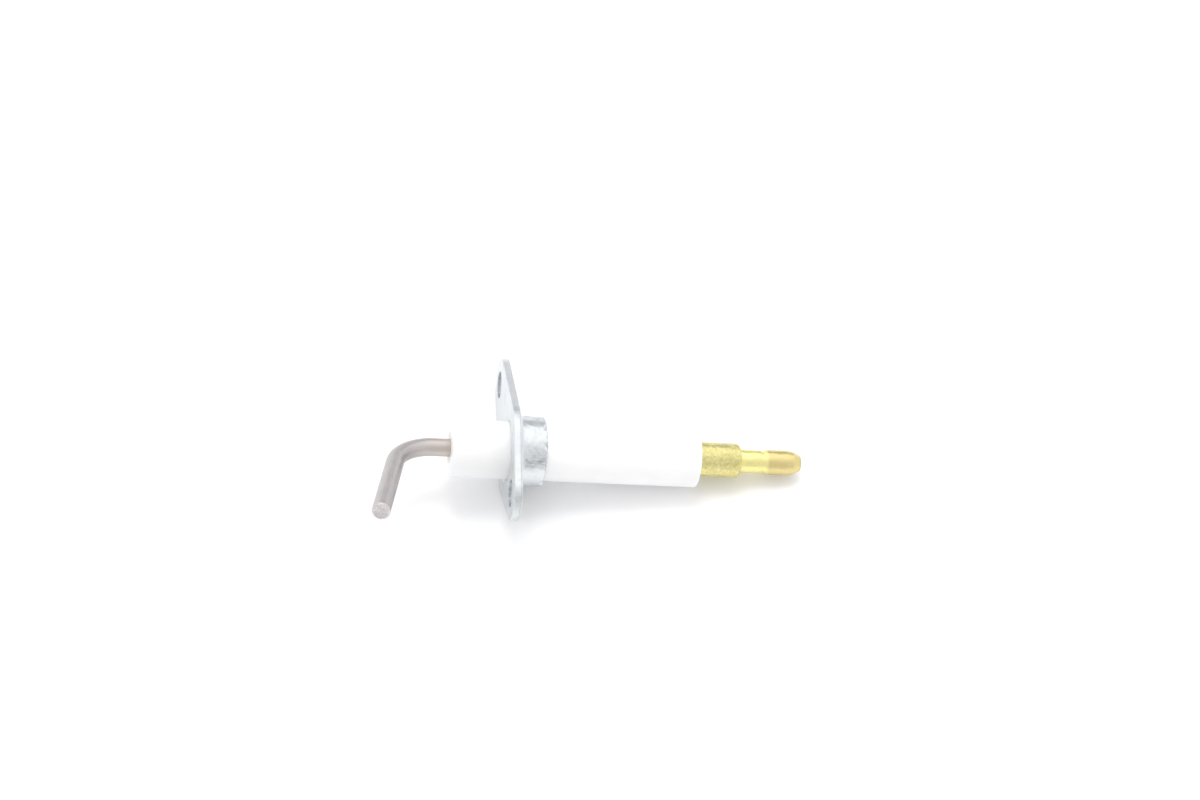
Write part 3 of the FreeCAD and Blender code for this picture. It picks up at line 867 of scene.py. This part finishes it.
def flange_wear_and_shade(points):
    """How dark and scraped each point is: painted shade on the front of the holes' walls and, with
    some tarnish, towards the short ear's end; wear on the crimped band and the lip.
    """
    x, y, z = points.T
    c, s = math.cos(FLANGE_TURN), math.sin(FLANGE_TURN)
    flat = np.stack([y * c + z * s, z * c - y * s], 1)
    wear = np.zeros(len(points))
    # painted shade on the front part of each hole's wall
    for reach in (LONG_EAR, -SHORT_EAR):
        to_wall = np.hypot(flat[:, 0] - reach, flat[:, 1]) - HOLE_RADIUS
        sheared = smooth_step(to_wall, HOLE_EDGE, HOLE_EDGE / 2)
        sheared = sheared * smooth_step(x, HOLE_SHADE_END, HOLE_SHADE_FULL)
        wear = np.maximum(wear, HOLE_PAINTED_SHADE * sheared)
    # painted shade, partly tarnish, towards the short ear's end
    ear_shade_and_tarnish = smooth_step(-flat[:, 0], EAR_SHADE_START, EAR_SHADE_FULL)
    wear = np.maximum(wear, ear_shade_and_tarnish * (EAR_SHADE_AND_TARNISH + 0.08 * ripple(points, 1.0, 68)))
    radius = np.hypot(y, z)
    on_collar = smooth_step(radius, COLLAR_BORE + 0.2, COLLAR_BORE + 0.4)
    on_collar = on_collar * smooth_step(x, PLATE_THICK + 0.8, PLATE_THICK + 1.4)
    angle = np.arctan2(z, y)
    for k in range(DIMPLE_COUNT):
        middle = SCRAPE_TURN + k * FULL_TURN / DIMPLE_COUNT
        across = turn_from(middle, angle) * COLLAR_LIP
        across = across + 0.35 * ripple(points, 2.0, 65)
        band = np.exp(-((across / SCRAPE_HALF) ** 2))
        torn = smooth_step(ripple(points * (0.4, 1, 1), 0.55, 66), -1.4, 0.4)
        wear = np.maximum(wear, on_collar * band * torn * SCRAPE_SHARES[k])
    lip = smooth_step(x, COLLAR_END - 0.5, COLLAR_END - 0.05)
    spots = smooth_step(ripple(points, 0.7, 67), 0.1, 1.2)
    return np.maximum(wear, on_collar * lip * spots * LIP_WEAR)


def rim_fade(flat, radius):
    """0 at the collar's circle, 1 a little way from it."""
    return smooth_step(np.hypot(flat[:, 0], flat[:, 1]) - radius, 0, 1)


def screw_hole(shell, reach):
    """The wall of a punched hole with broken edges: its front ring, rear ring and their radius."""
    around = 84
    turn = np.linspace(0, math.pi / 2, 5)
    edge = [(HOLE_EDGE * (1 - math.cos(a)), HOLE_EDGE * (1 - math.sin(a))) for a in turn]
    wall = [(x, 0.0) for x in np.arange(HOLE_EDGE, PLATE_THICK - HOLE_EDGE, 0.1)[1:]]
    rear_edge = [(PLATE_THICK - x, outset) for x, outset in edge[::-1]]
    rows = []
    for x, outset in [*edge, *wall, *rear_edge]:
        flat = circle(reach, HOLE_RADIUS + outset, around)
        place = in_space(flat, x)
        deep = smooth_step(x, 0.1, 0.3) * smooth_step(x, PLATE_THICK - 0.1, PLATE_THICK - 0.3)
        wear = 0.015 * deep * (1 + ripple(place * (0.3, 1, 1), 0.5, 51)) / 2
        spoke = flat - np.array([reach, 0])
        flat = flat + spoke / HOLE_RADIUS * wear[:, None]
        rows.append(in_space(flat, x))
    front, rear = shell.sweep(rows)
    return front, rear, HOLE_RADIUS + HOLE_EDGE


def collar_profile():
    """From the plate's rear face up the collar, over its lip, down the bore to the front face."""
    corners = [
        (PLATE_THICK, COLLAR_ROOT + ROOT_ROUND + 0.15),
        (PLATE_THICK, COLLAR_ROOT),
        (COLLAR_END, COLLAR_LIP),
        (COLLAR_END, COLLAR_BORE),
        (GROOVE_END - 0.15, COLLAR_BORE),
        (GROOVE_END - 0.15, BEAD_RADIUS),
        (GROOVE_START + 0.15, BEAD_RADIUS),
        (GROOVE_START + 0.15, COLLAR_BORE),
        (0.0, COLLAR_BORE),
        (0.0, COLLAR_BORE + MOUTH_ROUND + 0.15),
    ]
    radii = {1: ROOT_ROUND, 2: LIP_ROUND, 8: MOUTH_ROUND}
    return rounded(corners, step=0.1, radii=radii)


def collar_marks(points, angle):
    """Chisel stakes at the lip, crimping dimples, and a slightly hammered side."""
    x = points[..., 0]
    radius = np.hypot(points[..., 1], points[..., 2])
    outside = (radius > COLLAR_BORE + 0.2) & (x > PLATE_THICK + 0.3)
    draw = np.random.default_rng(61)
    depth = np.zeros(x.shape)
    for k in range(STAKE_COUNT):
        middle = FLANGE_TURN + math.pi / 2 + k * FULL_TURN / STAKE_COUNT
        across = turn_from(middle, angle) * COLLAR_LIP
        across = across + draw.uniform(-0.12, 0.12)
        bite = STAKE_BITE * draw.uniform(0.65, 1.0)
        half = math.sqrt(2 * STAKE_RADIUS * bite)
        shape = np.clip(1 - (across / half) ** 2, 0, 1)
        length = STAKE_DEPTH * draw.uniform(0.8, 1.1)
        near_end = smooth_step(x, COLLAR_END - length, COLLAR_END - length * 0.6)
        depth = np.maximum(depth, bite * shape * near_end)
    for k in range(DIMPLE_COUNT):
        middle = DIMPLE_TURN + k * FULL_TURN / DIMPLE_COUNT
        across = turn_from(middle, angle) * (COLLAR_LIP + COLLAR_ROOT) / 2
        across = across + 0.3 * ripple(points, 1.5, 60)
        away = (across / DIMPLE_ACROSS) ** 2 + ((x - DIMPLE_PLACE) / DIMPLE_ALONG) ** 2
        scored = 1 + 0.2 * ripple(points * (0.4, 1, 1), 0.5, 69)
        depth = np.maximum(depth, DIMPLE_BITE * np.clip((1 - away) * scored, 0, 1.5))
    hammered = 0.015 * (1 + ripple(points, 1.1, 62)) + 0.006 * (1 + ripple(points, 0.45, 63))
    fade = smooth_step(x, PLATE_THICK + 0.3, PLATE_THICK + 1.2)
    ragged = 0.05 * smooth_step(x, COLLAR_END - 0.3, COLLAR_END) * (1 + ripple(points, 0.8, 64)) / 2
    depth = depth + np.clip(hammered * fade, 0, 0.06) + np.clip(ragged, 0, 0.1)
    return np.where(outside, depth, 0)


# ------------------------------------------------------------------- terminal pin
def scattered(draw, count, start, end, radius, smallest, largest):
    """Centres and sizes of dents, scattered over a cylinder about X."""
    along = draw.uniform(start, end, count)
    turn = draw.uniform(0, FULL_TURN, count)
    centres = np.stack([along, radius * np.cos(turn), radius * np.sin(turn)], 1)
    return centres, draw.uniform(smallest, largest, count)


def make_terminal(material):
    """The turned pin: tumbling dents on its sleeve, fine turning rings on the rest."""
    corners = [
        (SOCKET_END, 0.02),
        (SOCKET_END, SOCKET_RADIUS),
        (PIN_START, SOCKET_RADIUS),
        (PIN_START, SLEEVE_RADIUS),
        (SLEEVE_END - SLEEVE_EDGE, SLEEVE_RADIUS),
        (SLEEVE_END, SLEEVE_RADIUS - SLEEVE_EDGE),
        (SLEEVE_END, WAIST_RADIUS),
        (WAIST_END, WAIST_RADIUS),
        (WAIST_END, NECK_RADIUS),
        (NECK_END, NECK_RADIUS),
        (TIP_START, TIP_RADIUS),
        (TIP_END, TIP_RADIUS),
        (FALL_END, TIP_END_RADIUS),
        (PIN_END, NOSE_RADIUS),
        (PIN_END, 0.02),
    ]
    radii = {3: 0.1, 4: 0.15, 5: 0.12, 10: 0.2, 12: 0.06, 13: 0.25}
    profile = rounded(corners, step=0.08, radii=radii)
    draw = np.random.default_rng(71)
    sleeve = scattered(draw, 420, PIN_START - 0.1, SLEEVE_END + 0.1, SLEEVE_RADIUS, 0.12, 0.42)
    tip = scattered(draw, 90, SLEEVE_END, PIN_END, TIP_RADIUS, 0.08, 0.22)
    centres, sizes = (np.concatenate(both) for both in zip(sleeve, tip))
    depths = sizes * draw.uniform(0.06, 0.16, len(sizes))

    def inward(points, angle):
        radius = np.hypot(points[..., 1], points[..., 2])
        outside = (radius > SOCKET_RADIUS + 0.15) | (points[..., 0] > SOCKET_END + 0.5)
        rings = 0.004 * (1 + np.sin(points[..., 0] * FULL_TURN / 0.33))
        waves = 0.008 * (1 + ripple(points, 1.3, 72))
        depth = dents(points, centres, sizes, depths) + rings + np.clip(waves, 0, 0.02)
        return np.where(outside, depth, 0)

    rows = turned_points(profile, around=160, inward=inward)
    shell = Shell()
    first, last = shell.sweep(rows)
    shell.cap(first, (SOCKET_END, 0, 0))
    shell.cap(last, (PIN_END - 0.01, 0, 0))
    return shell.piece("terminal_pin_turned", "terminal_pin", material)


# --------------------------------------------------------------- floor and lights
def floor_up():
    """The direction up out of the floor."""
    run = FLOOR_FAR - FLOOR_NEAR
    return Vector((-run.z, 0, run.x)).normalized()


def make_floor(material):
    """A large pale board under the probe, gently turned up at its far rim."""
    around, rings = 96, 40
    up = floor_up()
    side = Vector((0, 1, 0))
    along = side.cross(up)
    angle = np.arange(around) * FULL_TURN / around
    spoke = np.cos(angle)[:, None] * np.array(along) + np.sin(angle)[:, None] * np.array(side)
    rows = []
    for k in range(1, rings + 1):
        reach = FLOOR_REACH * (k / rings) ** 1.6
        rise = FLOOR_RISE * max(0.0, reach - FLOOR_LEVEL) ** 2
        rows.append(np.array(FLOOR_NEAR + up * rise) + reach * spoke)
    shell = Shell()
    first, _ = shell.sweep(rows)
    shell.cap(first, np.array(FLOOR_NEAR))
    floor = shell.link("floor", material, closed=False)


def camera_frame():
    """The camera's axes: right, up and forward."""
    level = math.cos(ELEVATION)
    forward = Vector((math.sin(AZIMUTH) * level, math.cos(AZIMUTH) * level, -math.sin(ELEVATION)))
    flat_right = forward.cross(Vector((0, 0, 1))).normalized()
    flat_up = flat_right.cross(forward)
    right = flat_right * math.cos(ROLL) + flat_up * math.sin(ROLL)
    return right, right.cross(forward), forward


def make_camera():
    """The camera that the main view is seen through."""
    right, up, forward = camera_frame()
    data = bpy.data.cameras.new("camera")
    data.lens = LENS
    data.sensor_width = SENSOR_WIDTH
    camera = bpy.data.objects.new("camera", data)
    turn = Matrix((right, up, -forward)).transposed().to_4x4()
    place = (AIM - forward * CAMERA_DISTANCE) * MM
    camera.matrix_world = Matrix.Translation(place) @ turn
    bpy.context.scene.collection.objects.link(camera)
    bpy.context.scene.camera = camera


def make_key_light():
    """A soft rectangle of white light, kept out of reflections: the metals mirror only the sky."""
    data = bpy.data.lights.new("key", "AREA")
    data.shape = "RECTANGLE"
    data.size = KEY_WIDTH * MM
    data.size_y = KEY_HEIGHT * MM
    data.energy = KEY_POWER
    light = bpy.data.objects.new("key", data)
    place = Vector(KEY_HEADING) * KEY_DISTANCE
    light.location = place * MM
    light.rotation_euler = (Vector(KEY_AIM) - place).to_track_quat("-Z", "Y").to_euler()
    light.visible_glossy = False
    bpy.context.scene.collection.objects.link(light)


def sky_patch(tree, direction, heading, edges, outside, inside):
    """A smooth change of brightness round one heading, from outside to inside the edges."""
    toward = tree.nodes.new("ShaderNodeVectorMath")
    toward.operation = "DOT_PRODUCT"
    toward.inputs[1].default_value = Vector(heading).normalized()
    tree.links.new(direction, toward.inputs[0])
    ramp = tree.nodes.new("ShaderNodeMapRange")
    ramp.interpolation_type = "SMOOTHSTEP"
    ramp.inputs["From Min"].default_value = math.cos(math.radians(edges[0]))
    ramp.inputs["From Max"].default_value = math.cos(math.radians(edges[1]))
    ramp.inputs["To Min"].default_value = outside
    ramp.inputs["To Max"].default_value = inside
    tree.links.new(toward.outputs["Value"], ramp.inputs["Value"])
    return ramp.outputs["Result"]


def make_sky():
    """White light from all sides: brighter behind and above, darker low behind and in front."""
    world = bpy.data.worlds.new("studio")
    bpy.context.scene.world = world
    world.use_nodes = True
    tree = world.node_tree
    direction = tree.nodes.new("ShaderNodeTexCoord").outputs["Generated"]
    full_glow = SKY_LEVEL * SKY_GLOW
    strength = sky_patch(tree, direction, GLOW_HEADING, GLOW_EDGES, SKY_LEVEL, full_glow)
    near = sky_patch(tree, direction, NEAR_HEADING, NEAR_EDGES, 1.0, NEAR_SHADE)
    far = sky_patch(tree, direction, FAR_HEADING, FAR_EDGES, 1.0, FAR_SHADE)
    for shade in (near, far):
        product = tree.nodes.new("ShaderNodeMath")
        product.operation = "MULTIPLY"
        tree.links.new(strength, product.inputs[0])
        tree.links.new(shade, product.inputs[1])
        strength = product.outputs[0]
    background = tree.nodes["Background"]
    background.inputs["Color"].default_value = (1, 1, 1, 1)
    tree.links.new(strength, background.inputs["Strength"])


# ------------------------------------------------------------------------- scene
make_rod(rod_finish())
make_ceramic(ceramic_finish())
cement = cement_finish()
make_seal("front_seal_cement", "front_seal", *FRONT_SEAL, FRONT_CROWN, 81, cement)
make_seal("rear_seal_cement", "rear_seal", *REAR_SEAL[::-1], REAR_CROWN, 91, cement)
make_flange(zinc_finish())
make_terminal(brass_finish())
make_floor(floor_finish())
make_camera()
make_sky()
make_key_light()

bpy.context.scene.view_settings.view_transform = "Standard"
